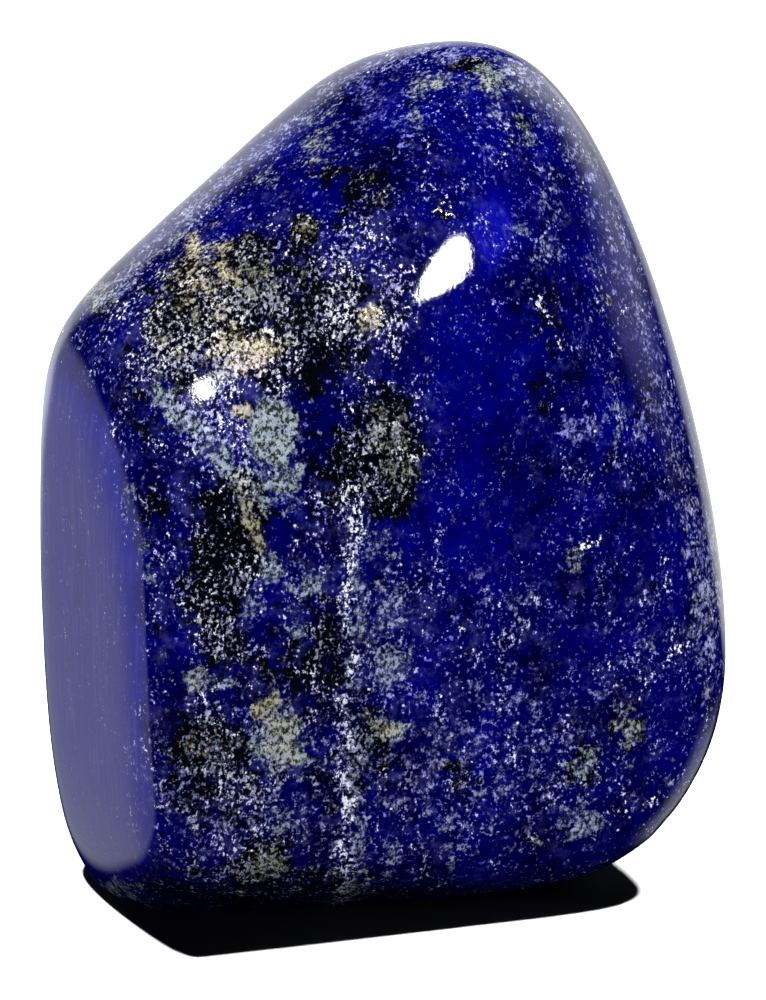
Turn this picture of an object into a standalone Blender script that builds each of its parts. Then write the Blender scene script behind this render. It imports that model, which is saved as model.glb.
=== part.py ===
"""Polished lapis lazuli: one tumbled stone that stands on a small flat spot.

Metres, +Z up. The origin is on the surface that the stone stands on, under the middle of
the stone. +X is to its right and -Y is towards somebody who looks at its best side.
"""

import math

import bmesh
import bpy
from mathutils import Vector

MM = 0.001

# Driving dimensions. Every ground face of the stone is measured from its heart, a point at
# this height over the resting spot.
HEART_HEIGHT = 12.7 * MM

# Compass direction and upward tilt of each ground face, in degrees, and its distance from
# the heart, in millimetres. Compass 0 is the front, 90 the right, 180 the back and -90 the left.
GROUND_FACES = {
    "front": (-4, 1, 5.2),
    "front shoulder": (15, 29, 9.9),
    "front left shoulder": (-26, 26, 8.0),
    "front underside": (-13, -56, 11.8),
    "left": (-85, -1, 9.6),
    "left slope": (-90, 57, 11.7),
    "left underside": (-99, -30, 14.8),
    "crown": (7, 63, 15.2),
    "right": (93, 3, 12.6),
    "right front": (40, 17, 9.8),
    "right underside": (102, -34, 12.6),
    "back": (-168, 0, 7.2),
    "back left": (-159, 12, 9.2),
    "back right": (134, 13, 9.6),
    "back underside": (165, -50, 13.4),
    "base": (0, -90, 15.5),
}

# How tight the rounded edges between the ground faces are. A higher number is tighter.
EDGE_TIGHTNESS = 11

# Squares along each side of the cube that the surface is shaped from.
SQUARES = 24

# Points on the border of the resting spot that are closer together than this become one.
SPOT_GAP = 0.1 * MM

STONE_BLUE = (0.006, 0.008, 0.16, 1.0)
STONE_ROUGHNESS = 0.12


def remove_everything():
    """Empties the scene."""
    for obj in list(bpy.data.objects):
        bpy.data.objects.remove(obj)


def outward(compass, tilt):
    """The direction that a ground face looks in."""
    compass = math.radians(compass)
    tilt = math.radians(tilt)
    level = math.cos(tilt)
    return Vector((level * math.sin(compass), -level * math.cos(compass), math.sin(tilt)))


def ground_faces():
    """Each ground face as its outward direction and its distance in metres."""
    return [(outward(compass, tilt), far * MM) for compass, tilt, far in GROUND_FACES.values()]


def reach(direction, faces):
    """How far the surface lies from the heart in one direction.

    A single flat face would be met at its distance over the cosine. The power sum of those
    lets the nearest face rule and rounds the edge where two faces are equally near.
    """
    total = sum(max(0.0, direction.dot(normal) / far) ** EDGE_TIGHTNESS for normal, far in faces)
    return total ** (-1.0 / EDGE_TIGHTNESS)


def swell(shape):
    """Moves each point of a cube out to the stone's surface, evenly spread in angle."""
    faces = ground_faces()
    heart = Vector((0.0, 0.0, HEART_HEIGHT))
    for vert in shape.verts:
        direction = Vector([math.tan(c * math.pi / 4) for c in vert.co]).normalized()
        vert.co = heart + direction * reach(direction, faces)


def grind_resting_spot(shape):
    """Cuts the underside flat at height zero and closes it with one face."""
    everything = shape.verts[:] + shape.edges[:] + shape.faces[:]
    cut = bmesh.ops.bisect_plane(
        shape, geom=everything, plane_co=(0, 0, 0), plane_no=(0, 0, -1), clear_outer=True
    )
    rim = [item for item in cut["geom_cut"] if isinstance(item, bmesh.types.BMEdge)]
    bmesh.ops.contextual_create(shape, geom=rim)
    border = {vert for edge in rim for vert in edge.verts}
    bmesh.ops.remove_doubles(shape, verts=list(border), dist=SPOT_GAP)
    bmesh.ops.recalc_face_normals(shape, faces=shape.faces)


def centre_over_origin(shape):
    """Slides the stone so that the middle of its length and width is over the origin."""
    across = [vert.co.x for vert in shape.verts]
    deep = [vert.co.y for vert in shape.verts]
    middle = Vector(((min(across) + max(across)) / 2, (min(deep) + max(deep)) / 2, 0.0))
    bmesh.ops.translate(shape, verts=shape.verts, vec=-middle)


def lapis_material():
    """Deep ultramarine with a wet polish."""
    material = bpy.data.materials.new("polished lapis lazuli")
    material.use_nodes = True
    surface = material.node_tree.nodes["Principled BSDF"]
    surface.inputs["Base Color"].default_value = STONE_BLUE
    surface.inputs["Roughness"].default_value = STONE_ROUGHNESS
    surface.inputs["Metallic"].default_value = 0.0
    return material


def build_stone():
    """The whole stone, one solid."""
    shape = bmesh.new()
    bmesh.ops.create_cube(shape, size=2.0)
    bmesh.ops.subdivide_edges(shape, edges=shape.edges, cuts=SQUARES - 1, use_grid_fill=True)
    swell(shape)
    grind_resting_spot(shape)
    centre_over_origin(shape)

    mesh = bpy.data.meshes.new("lapis_stone")
    shape.to_mesh(mesh)
    shape.free()
    mesh.shade_smooth()
    mesh.materials.append(lapis_material())
    stone = bpy.data.objects.new("lapis_stone", mesh)
    bpy.context.scene.collection.objects.link(stone)
    return stone


remove_everything()
build_stone()
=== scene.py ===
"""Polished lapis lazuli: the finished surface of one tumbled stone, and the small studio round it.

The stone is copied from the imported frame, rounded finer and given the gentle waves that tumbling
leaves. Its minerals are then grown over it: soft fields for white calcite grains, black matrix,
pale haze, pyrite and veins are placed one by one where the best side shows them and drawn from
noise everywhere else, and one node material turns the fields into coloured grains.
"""

import math
from types import SimpleNamespace

import bpy
import numpy as np
from bpy.props import FloatProperty, FloatVectorProperty, IntProperty, PointerProperty
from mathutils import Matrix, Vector, noise


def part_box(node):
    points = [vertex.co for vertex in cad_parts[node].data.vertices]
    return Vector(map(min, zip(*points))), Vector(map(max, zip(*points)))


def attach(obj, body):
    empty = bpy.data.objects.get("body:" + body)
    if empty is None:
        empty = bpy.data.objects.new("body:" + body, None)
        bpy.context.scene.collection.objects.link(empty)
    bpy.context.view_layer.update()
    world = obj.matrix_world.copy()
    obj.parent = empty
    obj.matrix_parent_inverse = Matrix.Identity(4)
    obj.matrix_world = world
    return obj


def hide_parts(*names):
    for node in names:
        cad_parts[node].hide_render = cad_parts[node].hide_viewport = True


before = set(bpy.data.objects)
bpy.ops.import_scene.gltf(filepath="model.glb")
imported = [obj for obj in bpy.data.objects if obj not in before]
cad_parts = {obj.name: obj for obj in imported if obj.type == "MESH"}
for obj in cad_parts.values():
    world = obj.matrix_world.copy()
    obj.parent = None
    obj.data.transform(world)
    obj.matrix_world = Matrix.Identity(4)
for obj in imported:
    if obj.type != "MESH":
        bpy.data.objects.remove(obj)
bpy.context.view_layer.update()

bl_info = {
    "name": "Polished Lapis Lazuli",
    "version": (1, 0, 0),
    "blender": (4, 5, 0),
    "location": "View3D > Sidebar > Lapis",
    "description": "Builds a tumbled lapis lazuli and the studio it stands in",
    "category": "Object",
}

MM = 0.001
STONE_NODE = "lapis_stone"
PIECE_NAME = "polished_stone"


def linear(hex_colour):
    """An sRGB hex colour as linear red, green and blue."""
    parts = [int(hex_colour[i : i + 2], 16) / 255 for i in (0, 2, 4)]
    return [c / 12.92 if c <= 0.04045 else ((c + 0.055) / 1.055) ** 2.4 for c in parts]


def colour(name, description, hex_colour):
    """A colour setting with an sRGB hex default."""
    return FloatVectorProperty(
        name=name,
        description=description,
        default=linear(hex_colour),
        subtype="COLOR",
        size=3,
        min=0.0,
        max=1.0,
    )


def length(name, description, millimetres):
    """A length setting with its default in millimetres."""
    return FloatProperty(
        name=name, description=description, default=millimetres * MM, min=0.0, unit="LENGTH"
    )


def angle(name, description, degrees):
    """An angle setting with its default in degrees."""
    return FloatProperty(
        name=name, description=description, default=math.radians(degrees), subtype="ANGLE"
    )


class LapisStoneSettings(bpy.types.PropertyGroup):
    """Sizes of the stone's finished surface."""

    smoothing: IntProperty(
        name="Smoothing", description="Times each square of the surface is quartered", default=2
    )
    spot_border: length("Spot border", "Level border kept inside the resting spot's edge", 0.4)
    broad_wave: length("Broad wave", "Width of the broad waves that tumbling leaves", 6.0)
    broad_height: length("Broad height", "Height of the broad waves", 0.05)
    fine_wave: length("Fine wave", "Width of the fine waves on the polish", 1.6)
    fine_height: length("Fine height", "Height of the fine waves", 0.012)
    wave_start: length("Wave start", "Height over the resting spot where the waves begin", 0.3)
    wave_rise: length("Wave rise", "Further height over which they grow to their full size", 2.0)


class LapisColourSettings(bpy.types.PropertyGroup):
    """Colours of the minerals."""

    deep_blue: colour("Deep blue", "Lazurite where it is densest", "00002A")
    blue: colour("Blue", "Lazurite over most of the stone", "00004C")
    # Bright and pale blue are lazurite, and the bright field also uses them for painted light: a
    # painted blue sheen on the flat left side, painted light on the crown and a painted halo beside
    # the key glint.
    bright_blue: colour("Bright blue", "Lazurite where it is cleanest", "010166")
    pale_and_sheen_blue: colour("Pale blue", "Lazurite under the flat left side", "090986")
    # This colour paints streaks of reflection on the flat left side.
    stroke: colour("Stroke", "Upright strokes in the flat left side's polish", "7C7CC0")
    veil: colour("Veil", "Blue with fine calcite under it", "4A4A96")
    matrix: colour("Matrix", "Black rock between the grains", "030308")
    fleck: colour("Fleck", "Flecks that stray out of the pale hazes", "6468B4")
    calcite: colour("Calcite", "Brightest white grains", "F2F2F6")
    grey_calcite: colour("Grey calcite", "Brightest grains in the matrix", "CACAC6")
    clouded_grain: colour("Clouded grain", "Grains with blue over them", "6466AE")
    grey_grain: colour("Grey grain", "Clouded grains in the matrix", "5C5C60")
    pyrite: colour("Pyrite", "Pyrite grains, dull olive gold", "968E66")


class LapisStageSettings(bpy.types.PropertyGroup):
    """Sizes of the camera and the studio."""

    camera_compass: angle("Camera compass", "Turn of the camera round the stone", -21.0)
    camera_rise: angle("Camera rise", "Height of the camera over the horizon", 20.0)
    camera_distance: length("Camera distance", "From the lens to the point it looks at", 240.0)
    focal_length: FloatProperty(
        name="Focal length", description="On a sensor 36 mm tall, in millimetres", default=258.3
    )
    floor_side: length("Floor side", "Side of the square floor", 3000.0)
    floor_grey: colour("Floor grey", "Paper that the two suns turn white", "5A5A5A")
    sun_glow: FloatProperty(
        name="Sun glow", description="Strength of each sun over the grey floor", default=47.0
    )
    sun_width: angle("Sun width", "Width of each sun, which softens the shadow's edge", 2.5)


# Where the camera looks, in millimetres from the spot under the middle of the stone.
LOOK_AT = (-0.25, -1.23, 13.71)

# What the best side shows. Places are in millimetres across and up, as seen from the camera,
# from the middle of the picture. Each patch is (across, up, half width, half height, strength).
# A negative strength clears what the noise would grow there.
GRAIN_PATCHES = {
    "left half": (-4.8, -2.0, 5.0, 12.0, 0.2),
    "shoulder": (-4.4, 6.7, 4.5, 2.2, 0.12),
    "under the crown": (-0.6, 7.7, 1.4, 2.3, 0.5),
    "pyrite on the slope": (-2.7, 9.1, 0.5, 0.5, 0.35),
    "left of the glint": (-0.4, 5.2, 1.7, 1.3, 0.3),
    "below the glint": (0.6, 6.6, 1.0, 1.2, 0.3),
    "upper left": (-5.3, 5.2, 3.0, 1.7, 0.25),
    "beside the facet": (-5.4, 3.0, 1.2, 2.0, 0.5),
    "left edge": (-7.8, 2.0, 2.0, 2.7, 0.05),
    "left corner": (-8.3, 5.2, 1.6, 1.5, 0.22),
    "left matrix": (-5.2, -2.5, 1.5, 3.2, 0.05),
    "left knot": (-5.8, -4.6, 1.0, 1.5, 0.1),
    "low middle left": (-3.4, -3.3, 2.0, 2.0, 0.15),
    "foot": (-4.8, -10.0, 3.3, 2.7, 0.15),
    "heart": (0.4, 1.6, 1.0, 1.9, 0.35),
    "right of the heart": (1.8, 2.0, 0.8, 1.6, 0.35),
    "heart top": (1.4, 3.8, 0.7, 0.5, 0.45),
    "heart top right": (2.4, 3.8, 0.5, 0.6, 0.45),
    "beside the vein": (-1.6, 0.5, 0.8, 2.0, 0.25),
    "below the heart": (0.6, -4.0, 1.3, 2.0, 0.2),
    "low middle": (3.9, -3.7, 2.0, 1.7, 0.25),
    "low right": (3.0, -8.0, 2.0, 2.0, 0.12),
    "right foot": (7.3, -7.3, 2.3, 2.0, 0.15),
    "right flank": (8.6, -4.7, 1.5, 2.0, 0.15),
    "ridge": (-7.8, -8.0, 0.5, 2.0, 0.3),
    "foot middle": (2.2, -10.7, 2.0, 1.7, 0.15),
    "right shoulder": (5.9, 7.7, 1.7, 2.0, -0.04),
    "right": (7.3, 1.7, 2.0, 1.6, 0.08),
    "clean crown": (-2.1, 11.7, 2.0, 2.0, -0.3),
    "clean brow": (3.0, 5.0, 2.7, 2.7, -0.3),
    "clean front": (3.6, 0.7, 2.0, 3.6, -0.25),
    "clean left": (-2.1, 2.9, 0.8, 2.0, -0.6),
    "clean pocket": (-3.6, -1.2, 0.7, 0.7, -0.5),
    "blue eye": (-3.8, -4.3, 0.45, 0.45, -1.4),
    "clean ridge": (-7.1, -8.0, 0.4, 1.0, -0.6),
    "clean foot": (-2.2, -9.4, 0.8, 0.5, -0.6),
}

MATRIX_PATCHES = {
    "under the crown": (-0.7, 10.4, 1.1, 1.2, 0.75),
    "vein side wide": (-1.2, -6.0, 1.6, 6.0, 0.3),
    "brow network": (5.5, 4.0, 1.2, 4.0, 0.2),
    "slope": (-4.5, 8.3, 0.7, 0.5, 0.9),
    "slope grains": (-4.4, 7.1, 0.6, 0.9, 0.5),
    "olive": (-6.9, 5.8, 0.9, 0.7, 0.5),
    "shoulder": (-5.5, 6.1, 0.5, 0.5, 0.9),
    "shoulder left": (-6.6, 7.2, 0.6, 0.7, 0.6),
    "pit": (-4.0, 4.25, 0.3, 0.3, 1.0),
    "heart": (0.3, 1.5, 1.1, 1.9, 1.1),
    "left": (-5.0, -1.0, 1.0, 2.0, 1.0),
    "left low": (-5.6, -3.3, 0.9, 1.7, 0.9),
    "vein top": (-1.3, 1.0, 0.6, 1.3, 0.6),
    "vein side": (-1.8, -5.0, 0.7, 2.0, 0.5),
    "below the heart": (0.2, -0.3, 0.6, 0.5, 0.9),
    "front spot": (5.2, 3.5, 0.5, 0.7, 0.5),
    "right spot": (7.8, 1.6, 0.4, 0.5, 0.5),
    "right knot": (8.0, 4.2, 0.5, 0.5, 0.5),
    "brow line": (5.6, 6.2, 0.4, 1.0, 0.45),
    "crown": (2.9, 14.45, 0.9, 0.25, 1.4),
    "crown left": (1.0, 13.2, 0.3, 0.5, 0.7),
    "crown right": (4.7, 12.2, 0.5, 0.7, 0.6),
    "low left": (-6.1, -8.1, 0.9, 0.9, 0.8),
    "foot left": (-4.0, -12.0, 1.0, 0.9, 0.65),
    "foot middle": (2.5, -9.1, 0.5, 1.1, 0.7),
    "foot right": (6.7, -8.8, 0.7, 1.1, 0.8),
    "flank": (8.2, -7.7, 0.7, 1.1, 0.6),
    "ridge": (-7.8, -0.3, 0.6, 0.7, 0.4),
    "right edge": (10.3, -2.0, 0.3, 2.7, 0.5),
    "small knot": (2.3, 9.8, 0.5, 0.4, 0.7),
    "low centre": (-0.3, -8.2, 0.7, 1.3, 0.6),
    "front line": (5.6, -0.2, 0.5, 0.3, 0.5),
    "crown haze edge": (-2.1, 11.0, 0.6, 0.5, 0.6),
    "under edge": (-2.8, -12.9, 6.0, 0.7, 0.5),
    "shoulder network": (-4.2, 6.4, 4.5, 2.4, 0.85),
    "left network": (-5.6, -3.0, 3.0, 6.0, 0.35),
    "foot network": (-4.5, -10.0, 4.5, 3.0, 0.3),
    "middle network": (-1.5, 3.5, 2.5, 4.0, 0.3),
    "left edge": (-7.5, 3.2, 1.5, 2.2, 0.35),
    "navy left": (-2.1, 2.3, 1.0, 2.0, 0.15),
    "pyrite on the slope": (-2.7, 9.1, 0.6, 0.55, 0.9),
    "navy low": (7.3, -3.0, 2.0, 1.3, 0.2),
    "navy foot": (-5.6, -9.3, 1.7, 1.3, 0.4),
    "navy middle": (-3.6, -5.4, 1.7, 1.0, 0.4),
}

PYRITE_PATCHES = {
    "slope": (-2.7, 9.1, 0.5, 0.45, 1.1),
    "slope left": (-4.5, 8.4, 0.5, 0.45, 0.6),
    "under the crown": (-0.6, 9.9, 0.7, 1.1, 0.35),
    "brow": (2.1, 9.8, 0.45, 0.3, 0.9),
    "left of the glint": (-0.4, 6.0, 0.5, 0.4, 0.8),
    "heart": (0.3, 1.7, 0.85, 1.6, 0.55),
    "low left": (-6.1, -8.1, 0.75, 0.75, 0.8),
    "foot": (-3.8, -12.1, 0.65, 0.7, 0.75),
    "low centre": (0.2, -7.5, 0.5, 0.4, 0.9),
    "middle": (2.4, -5.2, 0.45, 0.35, 0.8),
    "right": (6.4, -1.9, 0.4, 0.45, 0.7),
    "right top": (7.7, 4.0, 0.3, 0.45, 0.8),
    "foot right": (6.4, -8.7, 0.6, 0.9, 0.5),
    "flank": (8.3, -7.8, 0.45, 0.85, 0.5),
    "foot middle": (2.5, -9.1, 0.4, 0.8, 0.5),
    "cloud top": (-4.0, -6.9, 0.7, 0.4, 0.5),
    "under edge": (5.3, -11.4, 0.35, 0.3, 0.5),
}

# The haze's colour at each hue: lavender, grey lavender, grey green, olive, cream and pinkish.
HAZE_HUES = {
    0.0: "4C4CA8",
    0.25: "8084A6",
    0.5: "78848A",
    0.75: "86826A",
    0.9: "C4BA98",
    1.0: "B49CB0",
}

# A haze patch has its hue as a last number.
HAZE_PATCHES = {
    "low left veil": (-4.5, -9.8, 4.5, 3.2, 0.26, 0.3),
    "low right veil": (3.2, -8.6, 4.0, 3.0, 0.27, 0.2),
    "shoulder tint": (-5.2, 7.0, 2.6, 2.0, 0.35, 0.7),
    "shoulder grey": (-3.0, 6.6, 2.2, 1.4, 0.2, 0.5),
    "left tint": (-6.5, 4.8, 1.4, 1.0, 0.3, 0.72),
    "edge": (-9.5, 6.9, 0.7, 0.6, 0.6, 0.7),
    "shoulder left": (-7.3, 5.9, 0.8, 0.8, 0.35, 0.75),
    "left": (-8.3, 3.8, 0.5, 0.3, 0.4, 0.5),
    "slope": (-6.1, 8.2, 0.9, 1.2, 0.45, 0.82),
    "slope right": (-4.6, 7.2, 0.9, 0.9, 0.5, 0.65),
    "top of the slope": (-2.2, 12.2, 0.7, 1.3, 0.4, 0.6),
    "left of the glint": (-0.4, 6.0, 0.45, 0.45, 0.9, 0.82),
    "foot dark": (-3.8, -12.1, 0.6, 0.7, 0.6, 0.7),
    "foot right knot": (6.6, -8.8, 0.6, 1.0, 0.45, 0.6),
    "small slope": (-3.8, 10.8, 0.4, 0.3, 0.4, 0.4),
    "crown left": (1.6, 13.8, 0.7, 0.35, 0.62, 0.6),
    "crown": (3.6, 14.1, 1.0, 0.4, 0.64, 0.6),
    "crown chain": (1.2, 12.9, 0.35, 0.7, 0.4, 0.45),
    "crown drop": (3.6, 13.1, 0.5, 0.6, 0.32, 0.35),
    "crown right": (4.7, 12.3, 0.6, 0.7, 0.36, 0.5),
    "right streak": (5.6, 10.4, 0.4, 1.0, 0.3, 0.3),
    "crown wisp": (-0.5, 13.3, 0.7, 0.9, 0.4, 0.05),
    "crown speck": (0.7, 12.2, 0.4, 0.7, 0.35, 0.05),
    "wisp": (3.1, 12.3, 0.3, 0.3, 0.4, 0.0),
    "wisp low": (3.5, 11.5, 0.3, 0.25, 0.4, 0.0),
    "brow right": (5.4, 8.3, 0.5, 0.5, 0.4, 0.3),
    "brow": (4.7, 9.1, 0.4, 0.4, 0.35, 0.3),
    "right brow": (7.1, 8.0, 0.3, 0.5, 0.3, 0.2),
    "right brow low": (7.4, 6.7, 0.3, 0.4, 0.35, 0.4),
    "pink": (-4.7, 5.0, 1.2, 0.8, 0.72, 1.0),
    "cream": (-3.4, 5.5, 0.35, 0.4, 0.4, 0.95),
    "yellow": (-4.6, 2.9, 0.4, 0.4, 0.8, 0.88),
    "white cloud": (-3.7, 2.2, 0.7, 1.2, 1.3, 0.52),
    "grey cloud": (-3.6, 0.4, 1.0, 0.9, 0.62, 0.5),
    "ridge": (-8.5, 0.3, 0.3, 0.5, 0.6, 0.45),
    "ridge low": (-7.9, -2.2, 0.3, 0.9, 0.5, 0.45),
    "under the streak": (-3.8, -2.3, 0.35, 0.5, 0.5, 0.5),
    "beside the vein": (-2.5, -2.7, 0.6, 0.7, 0.5, 0.45),
    "round the eye": (-4.3, -3.5, 0.4, 0.5, 0.5, 0.4),
    "round the eye low": (-3.1, -4.1, 0.4, 0.7, 0.5, 0.5),
    "heart": (0.2, 2.3, 0.7, 0.9, 0.5, 0.65),
    "heart low": (0.4, 1.0, 0.7, 0.7, 0.4, 0.6),
    "under the heart": (0.2, -1.6, 0.4, 0.5, 0.5, 0.35),
    "under the heart low": (0.3, -3.6, 0.6, 1.1, 0.6, 0.35),
    "centre": (2.4, -3.4, 0.3, 0.4, 0.45, 0.1),
    "centre right": (3.3, -3.2, 0.4, 0.7, 0.35, 0.1),
    "centre grey": (4.6, -3.5, 0.4, 0.5, 0.4, 0.4),
    "lavender cloud": (6.6, 2.3, 0.7, 0.5, 0.68, 0.12),
    "grey streak": (7.8, 2.7, 0.3, 0.8, 0.4, 0.4),
    "right streaks": (8.6, 2.5, 0.35, 0.7, 0.35, 0.2),
    "white wisp": (7.3, 0.0, 0.35, 0.2, 0.5, 0.1),
    "pyrite cloud": (6.4, -2.0, 0.4, 0.4, 0.48, 0.6),
    "right rim top": (8.9, 3.0, 0.35, 1.0, 0.35, 0.1),
    "right rim low": (9.3, 0.2, 0.25, 0.5, 0.35, 0.1),
    "right lavender": (8.8, -3.2, 0.4, 0.5, 0.35, 0.1),
    # The rim patch lies along the right outline: a painted rim reflection.
    "rim": (10.8, -3.0, 0.5, 3.3, 0.5, 0.35),
    "right low": (8.7, -4.8, 0.35, 0.5, 0.38, 0.4),
    "flank": (8.2, -7.7, 0.55, 1.0, 0.4, 0.6),
    "flank right": (9.7, -9.5, 0.35, 0.25, 0.5, 0.3),
    "left olive": (-6.1, -6.0, 0.45, 0.45, 0.6, 0.6),
    "left white": (-5.2, -6.2, 0.3, 0.2, 0.6, 0.4),
    "cloud brown": (-3.9, -6.7, 0.5, 0.35, 0.6, 0.9),
    "great cloud": (-3.6, -7.9, 0.9, 1.3, 0.8, 0.65),
    "great cloud bright": (-3.3, -8.1, 0.5, 0.8, 1.5, 0.68),
    "great cloud yellow": (-4.3, -7.1, 0.35, 0.4, 1.0, 0.85),
    "low left": (-6.3, -10.8, 0.3, 0.75, 0.4, 0.4),
    "low": (-4.4, -10.6, 0.35, 0.3, 0.4, 0.4),
    "low streak": (-3.3, -11.0, 0.5, 0.7, 0.5, 0.5),
    "corner": (-8.8, -13.0, 0.7, 0.45, 0.6, 0.5),
    "olive knot": (0.2, -7.5, 0.55, 0.4, 0.95, 0.8),
    "olive wisp": (0.5, -5.5, 0.45, 0.9, 0.6, 0.45),
    "pale spot": (3.4, -6.9, 0.25, 0.3, 0.4, 0.4),
    "lavender low": (2.6, -7.7, 0.4, 0.4, 0.35, 0.1),
    "foot middle": (2.4, -11.2, 0.5, 1.1, 0.4, 0.3),
    "foot streak": (0.3, -12.0, 0.35, 0.7, 0.5, 0.4),
    "lavender right": (7.2, -6.4, 0.3, 0.35, 0.35, 0.1),
    "foot right": (6.6, -10.8, 0.75, 0.75, 0.62, 0.42),
    "foot olive": (5.2, -11.4, 0.3, 0.3, 0.5, 0.75),
}

# Patches of brighter blue. The crown patch is painted light on the top, and the halo patch is a
# painted halo beside the key glint.
BRIGHT_AND_SHEEN_PATCHES = {
    "front": (2.9, 4.7, 2.7, 2.0, 0.5),
    "front low": (2.4, 1.0, 1.0, 3.7, 0.5),
    "middle": (2.6, -1.7, 2.0, 1.7, 0.4),
    "crown": (2.6, 13.2, 1.3, 1.0, 0.4),
    "brow": (3.9, 8.7, 1.0, 1.3, 0.4),
    "ridge": (-7.3, -8.0, 0.4, 1.0, 0.5),
    "halo": (3.6, 8.9, 0.6, 1.1, 2.6),
    "right": (6.3, 5.0, 1.7, 1.7, 0.2),
}

# Streaks follow points across and up. Each is (points, half width, strength, hue).
STREAKS_AND_RIM_SHEEN = {
    "band": ([(-7.3, 3.4), (-6.6, 2.6), (-5.6, 1.7), (-4.9, 1.0)], 0.35, 0.7, 0.5),
    "grey streak": ([(-4.9, 0.8), (-4.4, -0.6), (-3.9, -1.9)], 0.22, 0.6, 0.75),
    "slope upper": ([(-6.8, 8.9), (-5.9, 8.5), (-5.2, 8.6)], 0.15, 0.7, 0.9),
    "slope middle": ([(-6.4, 8.2), (-5.6, 7.8), (-5.0, 7.3)], 0.15, 0.7, 0.9),
    "slope lower": ([(-6.9, 7.5), (-6.0, 7.3), (-5.5, 6.8), (-5.3, 6.0)], 0.18, 0.6, 0.88),
    # The right rim and slope rim streaks run along the outline seen from the camera: a painted rim
    # reflection.
    "right rim": (
        [(5.2, 13.6), (6.9, 11.0), (8.2, 7.7), (9.3, 4.0), (10.2, 0.5), (11.0, -3.5), (11.0, -6.5)],
        0.35,
        0.32,
        0.2,
    ),
    "slope rim": (
        [
            (-9.2, 6.9),
            (-6.0, 10.0),
            (-2.9, 12.6),
            (-1.0, 14.1),
            (1.2, 15.0),
            (3.6, 15.0),
            (5.2, 13.8),
        ],
        0.3,
        0.45,
        0.2,
    ),
    "vein haze": ([(-0.8, -1.0), (-0.9, -4.7), (-1.0, -8.0), (-1.1, -13.0)], 0.4, 0.45, 0.4),
}

# The white vein is a thin sheet that runs right through the stone. It meets the best side
# along these points, in millimetres across and up.
VEIN_POINTS = [
    (-1.2, 0.5),
    (-0.8, -1.0),
    (-1.1, -2.3),
    (-1.2, -3.3),
    (-1.0, -4.7),
    (-1.3, -6.7),
    (-1.1, -7.5),
    (-1.3, -8.9),
    (-1.2, -10.0),
    (-1.2, -12.4),
    (-1.4, -13.5),
]
VEIN_WIDTH = 0.2

# The sheet meets the best side this far in front of the stone's middle, and shifts sideways by
# this share of the way as it goes back.
VEIN_FRONT = 6.3
VEIN_LEAN = 0.12

# Thinner veins that only the best side shows: points across and up, and a width.
THIN_VEINS = {
    "brow line": ([(5.3, 7.0), (5.5, 6.2), (5.8, 5.4)], 0.12),
    "pyrite wisp": ([(6.5, -1.7), (7.0, -1.6), (7.3, -1.2)], 0.1),
    "rim vein": ([(10.3, -4.8), (9.3, -5.5), (8.9, -6.0), (8.6, -6.7)], 0.1),
    "foot line": ([(10.3, -9.5), (8.8, -10.1), (7.3, -10.5)], 0.1),
}

# Grains that grow where no patch is.
GRAIN_GROUND = 0.12

# The flat left side, which is painted cleaner and bluer than the rest as a painted blue sheen that
# stands in for its reflection: the compass turn and the rise that it faces, and how far from them
# it reaches, in degrees.
FLAT_SIDE = (-88.0, -5.0)
FLAT_SIDE_REACH = (52.0, 30.0)
FLAT_SIDE_SHEEN = {"grains": -0.3, "matrix": -0.55, "bright": 2.1}

# Lamps round the stone. Each has its place as compass, rise and distance, its shape as the
# width and height it is seen at and its roll, and its glow as its radiance, the share of it that
# fades at each side, and how bright its left side is beside its right side. Distances are in
# metres and the rest in degrees.
GLINT_LAMPS = {
    "key disc": ((10.0, 28.5, 0.25), (28.0, 16.0, 33.0), (40.0, 0.0, 1.0)),
    "small disc": ((-39.4, 34.6, 0.25), (6.8, 2.2, -35.6), (60.0, 0.0, 1.0)),
    "left card": ((-124.0, -20.0, 0.6), (108.0, 54.0, 0.0), (1.1, 0.14, 0.3)),
    "back wall": ((158.0, 3.0, 0.6), (92.0, 54.0, 0.0), (1.15, 0.12, 1.0)),
    "right card": ((108.0, 28.0, 0.6), (50.0, 66.0, 0.0), (2.6, 0.35, 1.0)),
    "low right card": ((84.0, -40.0, 0.6), (60.0, 40.0, 0.0), (1.4, 0.4, 1.0)),
}
FILL_LAMPS = {
    "front fill": ((-5.0, 47.0, 0.6), (50.0, 50.0, 0.0), (6.7, 0.0, 1.0)),
    "low front fill": ((-15.0, 12.0, 0.6), (60.0, 24.0, 0.0), (1.0, 0.0, 1.0)),
    "left fill": ((-125.0, 14.0, 0.6), (60.0, 28.0, 0.0), (4.5, 0.0, 1.0)),
    "right fill": ((70.0, 30.0, 0.6), (37.0, 53.0, 0.0), (1.6, 0.0, 1.0)),
    "back right fill": ((125.0, 16.0, 0.6), (50.0, 30.0, 0.0), (3.0, 0.0, 1.0)),
    "back fill": ((170.0, 38.0, 0.6), (60.0, 50.0, 0.0), (2.4, 0.0, 1.0)),
}

# Two suns over the floor, by their lean to the right and to the back. The floor is grey paper, and
# each sun alone turns it white, so only the part that neither reaches is black.
OVERHEAD_SUNS = {"left sun": (-0.28, 0.0), "right sun": (0.4, -0.16)}

FIELDS = ("grains", "matrix", "haze", "hue", "pyrite", "bright", "vein")

# How far the surface's relief stands out, in millimetres.
RELIEF_HEIGHT = 0.0042


def outward(compass, rise):
    """The direction at a compass turn and a rise, in radians. Compass 0 is the best side, -Y."""
    level = math.cos(rise)
    return Vector((level * math.sin(compass), -level * math.cos(compass), math.sin(rise)))


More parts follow.
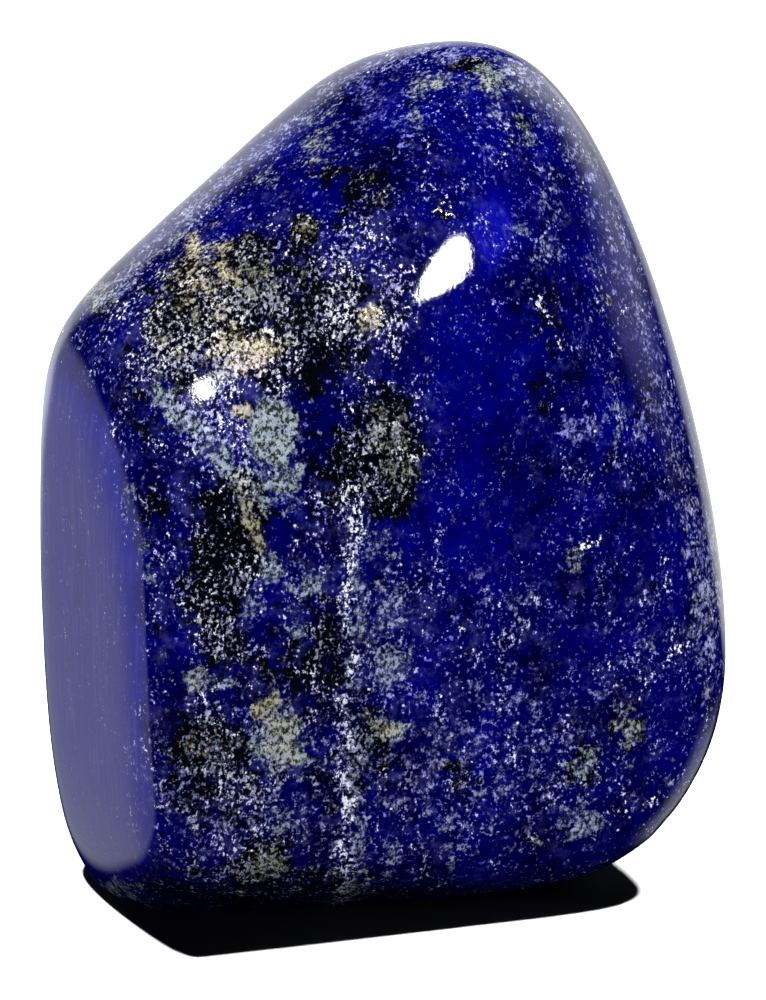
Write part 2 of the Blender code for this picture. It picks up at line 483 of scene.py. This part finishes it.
def camera_axes(stage):
    """The camera's place and its right, up and backward directions, in metres."""
    back = outward(stage.camera_compass, stage.camera_rise)
    right = Vector((math.cos(stage.camera_compass), math.sin(stage.camera_compass), 0.0))
    up = back.cross(right)
    place = Vector(LOOK_AT) * MM + back * stage.camera_distance
    return place, right, up, back


def select_only(*objects):
    """Selects these objects and nothing else, and makes the first one active."""
    bpy.ops.object.select_all(action="DESELECT")
    for obj in objects:
        obj.select_set(True)
    bpy.context.view_layer.objects.active = objects[0]


def add_node(tree, kind, settings=None, **inputs):
    """Adds a node, sets its properties, and sets or links the inputs named for their sockets."""
    node = tree.nodes.new(kind)
    for key, value in (settings or {}).items():
        setattr(node, key, value)
    for key, value in inputs.items():
        name = key.replace("_", " ")
        socket = node.inputs[int(key[1:])] if key[1:].isdigit() else node.inputs[name]
        if isinstance(value, bpy.types.NodeSocket):
            tree.links.new(value, socket)
        else:
            socket.default_value = value
    return node


def steps(tree, value, low, high, to_low=0.0, to_high=1.0):
    """A smooth ramp of a value between two limits."""
    ramp = add_node(
        tree,
        "ShaderNodeMapRange",
        {"interpolation_type": "SMOOTHSTEP"},
        Value=value,
        From_Min=low,
        From_Max=high,
        To_Min=to_low,
        To_Max=to_high,
    )
    return ramp.outputs["Result"]


def maths(tree, operation, a, b=0.0, c=0.0):
    """One sum on numbers or sockets."""
    return add_node(tree, "ShaderNodeMath", {"operation": operation}, _0=a, _1=b, _2=c).outputs[0]


def sum_of(tree, *terms):
    """The sum of sockets, each times its own weight."""
    (first, first_weight), *rest = terms
    total = maths(tree, "MULTIPLY", first, first_weight)
    for value, weight in rest:
        total = maths(tree, "MULTIPLY_ADD", value, weight, total)
    return total


def mix(tree, share, first, second):
    """One colour over another by a share."""
    first, second = (
        shade if isinstance(shade, bpy.types.NodeSocket) else (*shade, 1.0)
        for shade in (first, second)
    )
    node = add_node(
        tree, "ShaderNodeMix", {"data_type": "RGBA"}, _0=share, _6=first, _7=second
    )
    return node.outputs[2]


def brighten(tree, shade, times):
    """A colour times a number."""
    node = add_node(tree, "ShaderNodeVectorMath", {"operation": "SCALE"}, _0=shade, Scale=times)
    return node.outputs[0]


def speckle(tree, place, per_mm, detail, roughness=0.5):
    """Noise with this many grains to the millimetre."""
    node = add_node(
        tree,
        "ShaderNodeTexNoise",
        Vector=place,
        Scale=per_mm,
        Detail=detail,
        Roughness=roughness,
    )
    return node.outputs["Fac"]


def drawn_out(tree, coordinates, across, along):
    """Coordinates for noise that is finer across the stone than along its height.

    The numbers turn metres into the noise's own units, so 1000 makes a unit a millimetre.
    """
    return add_node(
        tree, "ShaderNodeMapping", Vector=coordinates, Scale=(across, across, along)
    ).outputs[0]


def rock_patterns(tree):
    """The mineral fields, and the noises that more than one mineral follows."""
    coordinates = add_node(tree, "ShaderNodeTexCoord").outputs["Object"]
    place = drawn_out(tree, coordinates, 1000, 1000)
    # The grains lie along the rock's upright grain, so their noise is a little longer upwards.
    grain_place = drawn_out(tree, coordinates, 1000, 800)
    return SimpleNamespace(
        coordinates=coordinates,
        place=place,
        field={
            name: add_node(tree, "ShaderNodeAttribute", {"attribute_name": name}).outputs["Fac"]
            for name in FIELDS
        },
        fine=speckle(tree, grain_place, 7.6, 2.0, 0.75),
        coarse=speckle(tree, place, 3.6, 3.0, 0.65),
        torn=speckle(tree, place, 1.9, 4.0, 0.66),
        spread=speckle(tree, place, 1.3, 3.0, 0.6),
        gaps=speckle(tree, place, 1.1, 2.0),
    )


def lazurite(tree, rock, colours):
    """Blue, clouded from navy to bright ultramarine over 2 to 4 mm and mottled at 0.4 mm."""
    field = rock.field
    cloud = speckle(tree, rock.place, 0.45, 3.0, 0.55)
    mottle = speckle(tree, rock.place, 2.4, 3.0, 0.6)
    # The bright field also paints light here: a painted blue sheen on the flat left side, painted
    # light on the crown and a painted halo beside the key glint.
    depth = sum_of(
        tree, (cloud, 2.6), (mottle, 1.6), (field["bright"], 0.6), (field["matrix"], -0.5)
    )
    base = mix(tree, steps(tree, depth, 1.5, 2.1), colours.deep_blue, colours.blue)
    base = mix(tree, steps(tree, depth, 2.0, 2.8), base, colours.bright_blue)
    base = mix(tree, steps(tree, depth, 2.7, 3.4), base, colours.pale_and_sheen_blue)

    # Painted reflection: faint upright lavender strokes on the flat left side, where the bright
    # field paints its sheen.
    painted_strokes = speckle(tree, drawn_out(tree, rock.coordinates, 5000, 300), 1.0, 3.0, 0.6)
    stroke = steps(tree, painted_strokes, 0.5, 0.66, 0.0, 0.1)
    stroke = maths(tree, "MULTIPLY", stroke, steps(tree, field["bright"], 1.0, 2.0))
    base = mix(tree, stroke, base, colours.stroke)

    # Fine calcite under the polish lifts the blue round the grains to lavender.
    veil = sum_of(tree, (field["grains"], 0.5), (rock.spread, 2.0), (rock.fine, 1.0))
    return mix(tree, steps(tree, veil, 1.58, 2.4, 0.0, 0.4), base, colours.veil)


def black_matrix(tree, rock, colours, base):
    """Black rock in ragged patches. Returns the colour and where the black is."""
    ragged = speckle(tree, rock.place, 1.7, 4.0, 0.65)
    black = sum_of(tree, (rock.field["matrix"], 0.8), (ragged, 2.4), (rock.fine, 0.5))
    black = steps(tree, black, 1.8, 2.15)
    return mix(tree, black, base, colours.matrix), black


def pale_haze(tree, rock, colours, base):
    """Fine calcite under the polish, and painted rim reflections along the outline: torn soft
    clouds, with blotches of 0.3 mm in them.

    Returns the colour, where the haze is, and its tint.
    """
    field = rock.field
    haze = sum_of(tree, (field["haze"], 2.2), (rock.torn, 5.0), (rock.fine, 1.2))
    haze = steps(tree, haze, 3.75, 5.0, 0.0, 0.85)
    hues = add_node(tree, "ShaderNodeValToRGB", Fac=field["hue"])
    ramp = hues.color_ramp
    while len(ramp.elements) < len(HAZE_HUES):
        ramp.elements.new(1.0)
    for element, (where, shade) in zip(ramp.elements, HAZE_HUES.items()):
        element.position = where
        element.color = (*linear(shade), 1.0)
    tint = hues.outputs["Color"]
    grit = steps(tree, sum_of(tree, (rock.fine, 0.8), (rock.coarse, 0.2)), 0.41, 0.6, 0.1, 1.75)
    base = mix(tree, haze, base, brighten(tree, tint, grit))

    # Flecks of the same calcite stray out of the haze, where they are lavender.
    fleck = sum_of(
        tree,
        (rock.coarse, 1.0),
        (rock.fine, 0.4),
        (field["haze"], 0.2),
        (field["bright"], -0.06),
    )
    fleck = steps(tree, fleck, 0.83, 0.97, 0.0, 0.65)
    fleck_tint = mix(tree, steps(tree, field["haze"], 0.05, 0.3), colours.fleck, tint)
    fleck_tint = brighten(tree, fleck_tint, maths(tree, "MULTIPLY", grit, 1.2))
    return mix(tree, fleck, base, fleck_tint), haze, tint


def calcite_grains(tree, rock, colours, base, black, haze, tint):
    """White grains about 0.1 mm across. The denser the field, the lower the noise that shows.

    They string out in upright streaks, and veins are lines where they crowd together. The vein
    field is the distance from the vein over its width. Returns the colour and where the grains
    are.
    """
    field = rock.field
    streaks = speckle(tree, drawn_out(tree, rock.coordinates, 2000, 350), 1.0, 2.0)
    vein = sum_of(tree, (field["vein"], 0.7), (rock.torn, -2.5), (rock.gaps, -2.0))
    vein = steps(tree, vein, -1.1, -2.2)
    crowd = sum_of(
        tree,
        (field["grains"], 1.0),
        (streaks, 1.6),
        (rock.gaps, 2.2),
        (vein, 1.3),
        (black, 0.2),
    )
    crowd = maths(tree, "SUBTRACT", crowd, 1.95)

    # Crowded grains have black between them, but less of it in haze.
    gap = steps(tree, rock.fine, 0.485, 0.4)
    gap = maths(tree, "MULTIPLY", gap, steps(tree, crowd, 0.3, 1.0, 0.0, 0.85))
    gap = maths(tree, "MULTIPLY", gap, maths(tree, "MULTIPLY_ADD", haze, -0.45, 1.0))
    base = mix(tree, gap, base, colours.matrix)

    # A grain has a clouded edge. It is greyer in matrix, and haze tints it except in a vein.
    limit = maths(tree, "MULTIPLY_ADD", crowd, -0.15, 0.7)
    over = maths(tree, "SUBTRACT", rock.fine, maths(tree, "MAXIMUM", limit, 0.53))
    greyness = steps(tree, field["matrix"], 0.3, 0.9, 0.0, 0.6)
    dull = mix(tree, greyness, colours.clouded_grain, colours.grey_grain)
    base = mix(tree, steps(tree, over, -0.07, 0.01, 0.0, 0.72), base, dull)
    tinted = maths(tree, "MAXIMUM", haze, steps(tree, field["haze"], 0.1, 0.5, 0.0, 0.75))
    tinted = maths(tree, "MULTIPLY", tinted, maths(tree, "MULTIPLY_ADD", vein, -0.85, 1.0))
    bright = mix(tree, greyness, colours.calcite, colours.grey_calcite)
    bright = mix(tree, tinted, bright, brighten(tree, tint, 2.15))

    # Some grains lie deeper than others and shine less.
    shine = sum_of(tree, (rock.spread, 1.0), (vein, 0.45))
    shine = steps(tree, shine, 0.38, 0.62, 0.3, 0.9)
    shine = maths(tree, "MULTIPLY", shine, steps(tree, crowd, 0.0, 0.6, 0.5, 1.0))
    shine = maths(tree, "MULTIPLY", shine, steps(tree, rock.coarse, 0.38, 0.6, 0.55, 1.3))
    grain = maths(tree, "MULTIPLY", steps(tree, over, 0.0, 0.05), shine)
    base = mix(tree, grain, base, bright)

    # Single round grains, one in some cells of 0.4 mm.
    cells = add_node(tree, "ShaderNodeTexVoronoi", Vector=rock.place, Scale=2.5)
    chance = add_node(tree, "ShaderNodeSeparateColor", _0=cells.outputs["Color"])
    keep = maths(tree, "MULTIPLY_ADD", field["grains"], 0.28, 0.04)
    keep = maths(tree, "LESS_THAN", chance.outputs[0], keep)
    dot = sum_of(tree, (cells.outputs["Distance"], 1.0), (rock.fine, -0.3))
    dot = steps(tree, dot, -0.08, 0.02, 1.0, 0.0)
    dot = maths(tree, "MULTIPLY", dot, keep)
    dot = maths(tree, "MULTIPLY", dot, chance.outputs[1])
    return mix(tree, dot, base, colours.calcite), grain


def pyrite_grains(tree, rock, colours, base):
    """Grains of 0.1 mm, dull gold with a glitter. Returns the colour and where the pyrite is."""
    knots = speckle(tree, rock.place, 7.5, 1.0)
    gold = sum_of(tree, (knots, 1.0), (rock.field["pyrite"], 0.34))
    gold = steps(tree, gold, 0.84, 0.9)
    glitter = steps(tree, rock.fine, 0.42, 0.6, 0.35, 2.4)
    return mix(tree, gold, base, brighten(tree, colours.pyrite, glitter)), gold


def polish(tree, rock, surface, grain, haze, gold):
    """Glassy on lazurite, duller on grains, haze and pyrite, with a little relief and scratches."""
    wear = speckle(tree, rock.place, 0.7, 3.0, 0.6)
    rough = sum_of(tree, (wear, 0.06), (grain, 0.03), (haze, 0.04), (gold, 0.16))
    tree.links.new(maths(tree, "ADD", rough, 0.02), surface.inputs["Roughness"])
    surface.inputs["IOR"].default_value = 1.5
    scratches = speckle(tree, drawn_out(tree, rock.coordinates, 9000, 350), 1.0, 2.0)
    relief = sum_of(tree, (grain, 0.4), (rock.fine, 0.4), (gold, -0.5), (scratches, 0.4))
    bump = add_node(
        tree, "ShaderNodeBump", Strength=1.0, Distance=RELIEF_HEIGHT * MM, Height=relief
    )
    tree.links.new(bump.outputs[0], surface.inputs["Normal"])


def lapis_material(colours):
    """Polished lapis lazuli: blue lazurite with white calcite, black matrix and pyrite, waxed.

    Lazurite takes a glassy polish of index 1.5, so the blue shows deep and wet with small crisp
    glints. Calcite and pyrite stand a few microns proud or low, which breaks the sheen up into
    grains along the rims.
    """
    material = bpy.data.materials.new("polished lapis lazuli")
    material.use_nodes = True
    tree = material.node_tree
    surface = tree.nodes["Principled BSDF"]
    rock = rock_patterns(tree)
    base = lazurite(tree, rock, colours)
    base, black = black_matrix(tree, rock, colours, base)
    base, haze, tint = pale_haze(tree, rock, colours, base)
    base, grain = calcite_grains(tree, rock, colours, base, black, haze, tint)
    base, gold = pyrite_grains(tree, rock, colours, base)
    tree.links.new(base, surface.inputs["Base Color"])
    tree.links.new(maths(tree, "MULTIPLY", gold, 0.75), surface.inputs["Metallic"])
    polish(tree, rock, surface, grain, haze, gold)
    return material


def seen_places(points, stage):
    """Each point's place across and up in the picture, in millimetres."""
    place, right, up, back = camera_axes(stage)
    offset = points - np.array(place)
    away = -(offset @ np.array(back))
    scale = stage.camera_distance / away / MM
    return (offset @ np.array(right)) * scale, (offset @ np.array(up)) * scale


def shown_share(points, normals, stage):
    """How much of the best view's markings each point takes: 1 where it faces the camera."""
    towards = np.array(camera_axes(stage)[0]) - points
    towards /= np.linalg.norm(towards, axis=1)[:, None]
    facing = (normals * towards).sum(1)
    return np.clip(facing / 0.2 + 0.25, 0.0, 1.0)


def flat_side_share(normals):
    """1 on the flat left side and 0 off it, by the direction that the surface faces."""
    turn = np.degrees(np.arctan2(normals[:, 0], -normals[:, 1]))
    rise = np.degrees(np.arcsin(np.clip(normals[:, 2], -1.0, 1.0)))
    off = np.hypot(
        (turn - FLAT_SIDE[0]) / FLAT_SIDE_REACH[0], (rise - FLAT_SIDE[1]) / FLAT_SIDE_REACH[1]
    )
    return np.clip((1.0 - off) / 0.5, 0.0, 1.0)


def wander(points, width, height, seed):
    """Noise across and up at each point: its bumps are this wide and high, in millimetres."""
    shifts = (Vector((seed, seed * 1.7, seed * 0.6)), Vector((-seed * 1.3, seed * 0.4, seed * 2.1)))
    found = [[noise.noise(Vector(p) / (width * MM) + shift) for shift in shifts] for p in points]
    return np.array(found) * height


def swell_noise(points, width, seed, stretch=1.0):
    """Cloud noise from 0 to 1 with soft clumps this wide, in millimetres."""
    shift = Vector((seed, -seed * 0.7, seed * 1.3))
    scale = Vector((1.0, 1.0, 1.0 / stretch)) / (width * MM)
    found = [noise.fractal(Vector(p) * scale + shift, 1.0, 2.0, 3) for p in points]
    return np.clip(np.array(found) * 0.6 + 0.5, 0.0, 1.0)


def patch(across, up, centre_across, centre_up, half_width, half_height):
    """A soft oval: 1 in its middle and 0 outside."""
    far = np.hypot((across - centre_across) / half_width, (up - centre_up) / half_height)
    edge = np.clip(1.35 - 0.85 * far, 0.0, 1.0)
    return edge * edge * (3 - 2 * edge)


def distance_to(across, up, points):
    """How far each place is from a line through the points."""
    spots = np.stack([across, up], axis=1)
    best = np.full(len(across), 1e9)
    for start, end in zip(points, points[1:]):
        a = np.array(start)
        run = np.array(end) - a
        share = np.clip((spots - a) @ run / (run @ run), 0.0, 1.0)
        best = np.minimum(best, np.linalg.norm(spots - a - share[:, None] * run, axis=1))
    return best


def patch_sum(patches, across, up):
    """The patches' soft ovals, each times its strength, in one sum."""
    total = np.zeros(len(across))
    for centre_across, centre_up, half_width, half_height, strength in patches.values():
        total += strength * patch(across, up, centre_across, centre_up, half_width, half_height)
    return total


def grow_haze(points, across, up, shown):
    """The haze, its hue and the streaks in it. Where hazes overlap, their hues are averaged."""
    haze = np.zeros(len(across))
    streaks = np.zeros(len(across))
    hue = np.zeros(len(across))
    weight = np.full(len(across), 0.02)
    for centre_across, centre_up, half_width, half_height, strength, tint in HAZE_PATCHES.values():
        oval = patch(across, up, centre_across, centre_up, half_width, half_height)
        share = strength * oval * shown
        haze = np.maximum(haze, share)
        hue += share * tint
        weight += share
    for line, half_width, strength, tint in STREAKS_AND_RIM_SHEEN.values():
        near = np.clip(1.5 - 0.75 * distance_to(across, up, line) / half_width, 0.0, 1.0)
        share = strength * near * shown
        haze = np.maximum(haze, share)
        streaks += share
        hue += share * tint
        weight += share

    # The sides that the best view hides have clouds of 2.6 mm, whose hue drifts over 6 mm.
    clouds = swell_noise(points, 2.6, 63.0, 1.3)
    share = (1.0 - shown) * np.clip(clouds * 3.2 - 1.7, 0.0, 0.8)
    tints = swell_noise(points, 6.0, 80.0)
    hue += (share + 0.02) * np.clip(tints * 1.4 - 0.3, 0.0, 0.8)
    return np.maximum(haze, share), hue / (weight + share), streaks


def grow_veins(points, across, up, hidden, stage):
    """Each point's distance from the nearest vein, over the vein's width."""
    turn = math.cos(stage.camera_compass)
    line = [(a * turn, u) for a, u in VEIN_POINTS]
    sheet = across * turn + (points[:, 1] / MM + VEIN_FRONT) * VEIN_LEAN * hidden
    vein = distance_to(sheet, up, line) / VEIN_WIDTH
    for line, width in THIN_VEINS.values():
        vein = np.minimum(vein, distance_to(across, up, line) / width + 4.0 * hidden)
    return np.clip(vein, 0.0, 12.0)


def grow_fields(mesh, stage):
    """Works out every mineral field at the stone's points."""
    points = np.empty(len(mesh.vertices) * 3)
    normals = np.empty(len(mesh.vertices) * 3)
    mesh.vertices.foreach_get("co", points)
    mesh.vertex_normals.foreach_get("vector", normals)
    points = points.reshape(-1, 3)
    normals = normals.reshape(-1, 3)
    shown = shown_share(points, normals, stage)
    hidden = 1.0 - shown

    # Noise of 0.9 and 0.35 mm moves each place a little, which makes the patches' edges ragged.
    ragged = wander(points, 0.9, 0.28, 3.0) + wander(points, 0.35, 0.12, 8.0)
    across, up = seen_places(points, stage)
    across = across + ragged[:, 0]
    up = up + ragged[:, 1]

    # The hidden sides have crowds of grains and matrix 5 mm wide, and knots of pyrite of 2.2 mm.
    crowd = swell_noise(points, 5.0, 21.0, 1.6)
    knots = swell_noise(points, 2.2, 44.0)
    grown = {
        "grains": (GRAIN_PATCHES, np.clip(crowd * 2.2 - 0.9, -0.1, 0.8)),
        "matrix": (MATRIX_PATCHES, np.clip(crowd * 2.4 - 1.3, 0.0, 0.8)),
        "bright": (BRIGHT_AND_SHEEN_PATCHES, np.clip(0.9 - crowd * 2.0, 0.0, 0.5)),
        "pyrite": (PYRITE_PATCHES, np.clip(knots * 5.0 - 3.8, 0.0, 0.8)),
    }
    fields = {
        name: patch_sum(patches, across, up) * shown + hidden * elsewhere
        for name, (patches, elsewhere) in grown.items()
    }
    haze, fields["hue"], streaks = grow_haze(points, across, up, shown)
    fields["grains"] += GRAIN_GROUND + 0.3 * streaks
    # The flat left side gets its painted sheen: fewer grains, less matrix and haze, and a brighter
    # blue.
    flat_side = flat_side_share(normals)
    for name, change in FLAT_SIDE_SHEEN.items():
        fields[name] += change * flat_side
    fields["haze"] = haze * (1.0 - 0.5 * flat_side)
    fields["vein"] = grow_veins(points, across, up, hidden, stage)
    return fields


def smooth_stone(stone, settings):
    """Joins the copy's loose triangles, levels its resting spot and rounds it finer."""
    select_only(stone)
    bpy.ops.object.mode_set(mode="EDIT")
    bpy.ops.mesh.select_all(action="SELECT")
    bpy.ops.mesh.remove_doubles(threshold=0.001 * MM)
    bpy.ops.mesh.tris_convert_to_quads(
        face_threshold=math.radians(40), shape_threshold=math.radians(60)
    )
    bpy.ops.mesh.select_all(action="DESELECT")
    bpy.ops.object.mode_set(mode="OBJECT")
    for face in stone.data.polygons:
        face.select = face.normal.z < -0.999 and face.center.z < 0.01 * MM
    bpy.ops.object.mode_set(mode="EDIT")
    bpy.ops.mesh.select_mode(type="FACE")
    bpy.ops.mesh.dissolve_faces()
    bpy.ops.mesh.inset(thickness=settings.spot_border, depth=0.0)
    bpy.ops.mesh.poke()
    bpy.ops.mesh.select_all(action="SELECT")
    bpy.ops.mesh.normals_make_consistent(inside=False)
    bpy.ops.object.mode_set(mode="OBJECT")
    rounding = stone.modifiers.new("rounding", "SUBSURF")
    rounding.levels = settings.smoothing
    rounding.render_levels = settings.smoothing
    bpy.ops.object.modifier_apply(modifier=rounding.name)


def hold_spot(stone, settings):
    """Marks the points that the waves may move: none at the resting spot, all well above it."""
    places = np.empty(len(stone.data.vertices) * 3)
    stone.data.vertices.foreach_get("co", places)
    share = np.clip((places[2::3] - settings.wave_start) / settings.wave_rise, 0.0, 1.0)
    waved = stone.vertex_groups.new(name="waved")
    for index in np.flatnonzero(share):
        waved.add([int(index)], float(share[index]), "REPLACE")


def wave(stone, name, width, height):
    """Lifts and lowers the marked points in soft waves."""
    clouds = bpy.data.textures.new(name, "CLOUDS")
    clouds.noise_scale = width
    clouds.noise_depth = 1
    lift = stone.modifiers.new(name, "DISPLACE")
    lift.texture = clouds
    lift.texture_coords = "LOCAL"
    lift.strength = height
    lift.mid_level = 0.5
    lift.vertex_group = "waved"
    bpy.ops.object.modifier_apply(modifier=lift.name)


def stretch_to_box(stone, box):
    """Gives back the little height and width that the rounding took, and leaves the spot level."""
    low, high = box
    corners = [Vector(corner) for corner in stone.bound_box]
    for axis in range(3):
        own = [corner[axis] for corner in corners]
        stone.scale[axis] = (high[axis] - low[axis]) / (max(own) - min(own))
    select_only(stone)
    bpy.ops.object.transform_apply(location=False, rotation=False, scale=True)


class LAPIS_OT_stone(bpy.types.Operator):
    """Makes the polished stone from the frame's stone and grows its minerals"""

    bl_idname = "lapis.stone"
    bl_label = "Polished stone"

    def execute(self, context):
        scene = context.scene
        settings = scene.lapis_stone
        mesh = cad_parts[STONE_NODE].data.copy()
        if not mesh.polygons:
            raise RuntimeError("the frame's stone has no faces")
        mesh.name = PIECE_NAME
        mesh.materials.clear()
        stone = bpy.data.objects.new(PIECE_NAME, mesh)
        scene.collection.objects.link(stone)
        smooth_stone(stone, settings)
        hold_spot(stone, settings)
        wave(stone, "broad waves", settings.broad_wave, settings.broad_height)
        wave(stone, "fine waves", settings.fine_wave, settings.fine_height)
        stone.vertex_groups.clear()
        stretch_to_box(stone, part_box(STONE_NODE))
        bpy.ops.object.shade_smooth()

        fields = grow_fields(mesh, scene.lapis_stage)
        for name in FIELDS:
            mesh.attributes.new(name, "FLOAT", "POINT")
            mesh.attributes[name].data.foreach_set("value", fields[name].astype(np.float32))
        mesh.materials.append(lapis_material(scene.lapis_colours))
        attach(stone, "root")
        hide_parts(STONE_NODE)
        return {"FINISHED"}


def aim(obj, target):
    """Turns a lamp or a camera to look at a point."""
    obj.rotation_euler = (Vector(target) - obj.location).to_track_quat("-Z", "Y").to_euler()


def soften(data, border, lean):
    """Fades a soft box out over a share of its width and height at each side, and leans it."""
    data.use_nodes = True
    tree = data.node_tree
    where = add_node(tree, "ShaderNodeNewGeometry").outputs["Parametric"]
    across = add_node(tree, "ShaderNodeSeparateXYZ", Vector=where)
    strength = maths(tree, "MULTIPLY_ADD", across.outputs[0], 1.0 - lean, lean)
    for axis in (0, 1):
        side = maths(tree, "SUBTRACT", across.outputs[axis], 0.5)
        side = maths(tree, "ABSOLUTE", side)
        fade = steps(tree, side, 0.5 - border, 0.5, 1.0, 0.0)
        strength = maths(tree, "MULTIPLY", strength, fade)
    tree.links.new(strength, tree.nodes["Emission"].inputs["Strength"])


def add_light(name, data, receivers):
    """Puts a light in the scene that reaches only the receivers."""
    obj = bpy.data.objects.new(name, data)
    bpy.context.scene.collection.objects.link(obj)
    obj.light_linking.receiver_collection = receivers
    return obj


def lamp(name, place, shape, glow, receivers, glint):
    """A soft box that looks at the stone, as wide and tall as its angles seen from the stone.

    A glint lamp shows only in the polish, and any other lamp only lights the minerals.
    """
    compass, rise, distance = place
    wide, tall, roll = shape
    radiance, border, lean = glow
    data = bpy.data.lights.new(name, "AREA")
    data.shape = "ELLIPSE" if "disc" in name else "RECTANGLE"
    data.size = 2 * distance * math.tan(math.radians(wide) / 2)
    data.size_y = 2 * distance * math.tan(math.radians(tall) / 2)
    fill = math.pi / 4 if data.shape == "ELLIPSE" else 1.0
    data.energy = radiance * math.pi * data.size * data.size_y * fill
    if border:
        soften(data, border, lean)
    obj = add_light(name, data, receivers)
    middle = Vector(LOOK_AT) * MM
    obj.location = middle + outward(math.radians(compass), math.radians(rise)) * distance
    aim(obj, middle)
    obj.rotation_euler.rotate_axis("Z", math.radians(roll))
    obj.visible_camera = False
    obj.visible_glossy = glint
    obj.visible_diffuse = not glint


def overhead_sun(name, lean_right, lean_back, stage, receivers):
    """A small sun over the floor. It leans by these slopes, to the right and to the back."""
    data = bpy.data.lights.new(name, "SUN")
    data.energy = stage.sun_glow
    data.angle = stage.sun_width
    obj = add_light(name, data, receivers)
    obj.location = (lean_right, lean_back, 1.0)
    aim(obj, (0.0, 0.0, 0.0))


def receivers_of(name, obj):
    """A collection of one object, for the lights that reach nothing else."""
    collection = bpy.data.collections.new(name)
    collection.objects.link(obj)
    return collection


def paper_floor(stage):
    """A square of matt paper. Its bounce is kept off the stone, so its shadow side stays deep."""
    bpy.ops.object.select_all(action="DESELECT")
    bpy.ops.mesh.primitive_plane_add(size=stage.floor_side, location=(0.0, 0.0, 0.0))
    floor = bpy.context.object
    floor.name = "floor"
    floor.visible_glossy = False
    floor.visible_diffuse = False
    paper = bpy.data.materials.new("matt white paper")
    paper.use_nodes = True
    surface = paper.node_tree.nodes["Principled BSDF"]
    surface.inputs["Base Color"].default_value = (*stage.floor_grey, 1.0)
    surface.inputs["Roughness"].default_value = 0.95
    surface.inputs["Specular IOR Level"].default_value = 0.0
    floor.data.materials.append(paper)
    return floor


class LAPIS_OT_stage(bpy.types.Operator):
    """Sets the floor, the lamps, the white surround and the camera"""

    bl_idname = "lapis.stage"
    bl_label = "Stage"

    def execute(self, context):
        scene = context.scene
        stage = scene.lapis_stage
        stone = bpy.data.objects.get(PIECE_NAME)
        if stone is None:
            raise RuntimeError("the stage is set round the stone, so the stone comes first")
        floor = paper_floor(stage)

        only_floor = receivers_of("lit by the suns", floor)
        only_stone = receivers_of("lit by the lamps", stone)
        for name, (lean_right, lean_back) in OVERHEAD_SUNS.items():
            overhead_sun(name, lean_right, lean_back, stage, only_floor)
        for name, (place, shape, glow) in GLINT_LAMPS.items():
            lamp(name, place, shape, glow, only_stone, glint=True)
        for name, (place, shape, glow) in FILL_LAMPS.items():
            lamp(name, place, shape, glow, only_stone, glint=False)

        world = bpy.data.worlds.new("white surround")
        world.use_nodes = True
        world.node_tree.nodes["Background"].inputs["Color"].default_value = (1.0, 1.0, 1.0, 1.0)
        world.cycles_visibility.diffuse = False
        world.cycles_visibility.glossy = False
        scene.world = world

        data = bpy.data.cameras.new("camera")
        data.sensor_width = 36.0
        data.lens = stage.focal_length
        data.clip_start = 0.01
        camera = bpy.data.objects.new("camera", data)
        scene.collection.objects.link(camera)
        camera.location = camera_axes(stage)[0]
        aim(camera, Vector(LOOK_AT) * MM)
        scene.camera = camera
        scene.view_settings.view_transform = "Standard"
        return {"FINISHED"}


class LAPIS_PT_panel(bpy.types.Panel):
    """Lists the stone's and the stage's settings and buttons"""

    bl_idname = "LAPIS_PT_panel"
    bl_label = "Polished lapis lazuli"
    bl_space_type = "VIEW_3D"
    bl_region_type = "UI"
    bl_category = "Lapis"

    def draw(self, context):
        scene = context.scene
        for operator, groups in (
            ("lapis.stone", (scene.lapis_stone, scene.lapis_colours)),
            ("lapis.stage", (scene.lapis_stage,)),
        ):
            for settings in groups:
                for name in settings.__annotations__:
                    self.layout.prop(settings, name)
            self.layout.operator(operator)


CLASSES = (
    LapisStoneSettings,
    LapisColourSettings,
    LapisStageSettings,
    LAPIS_OT_stone,
    LAPIS_OT_stage,
    LAPIS_PT_panel,
)


def register():
    """Makes the settings, operators and panel known to Blender."""
    for cls in CLASSES:
        bpy.utils.register_class(cls)
    bpy.types.Scene.lapis_stone = PointerProperty(type=LapisStoneSettings)
    bpy.types.Scene.lapis_colours = PointerProperty(type=LapisColourSettings)
    bpy.types.Scene.lapis_stage = PointerProperty(type=LapisStageSettings)


def unregister():
    """Takes them out again."""
    del bpy.types.Scene.lapis_stage
    del bpy.types.Scene.lapis_colours
    del bpy.types.Scene.lapis_stone
    for cls in reversed(CLASSES):
        bpy.utils.unregister_class(cls)


def main():
    """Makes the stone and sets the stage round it."""
    register()
    bpy.ops.lapis.stone()
    bpy.ops.lapis.stage()


if __name__ == "__main__":
    main()
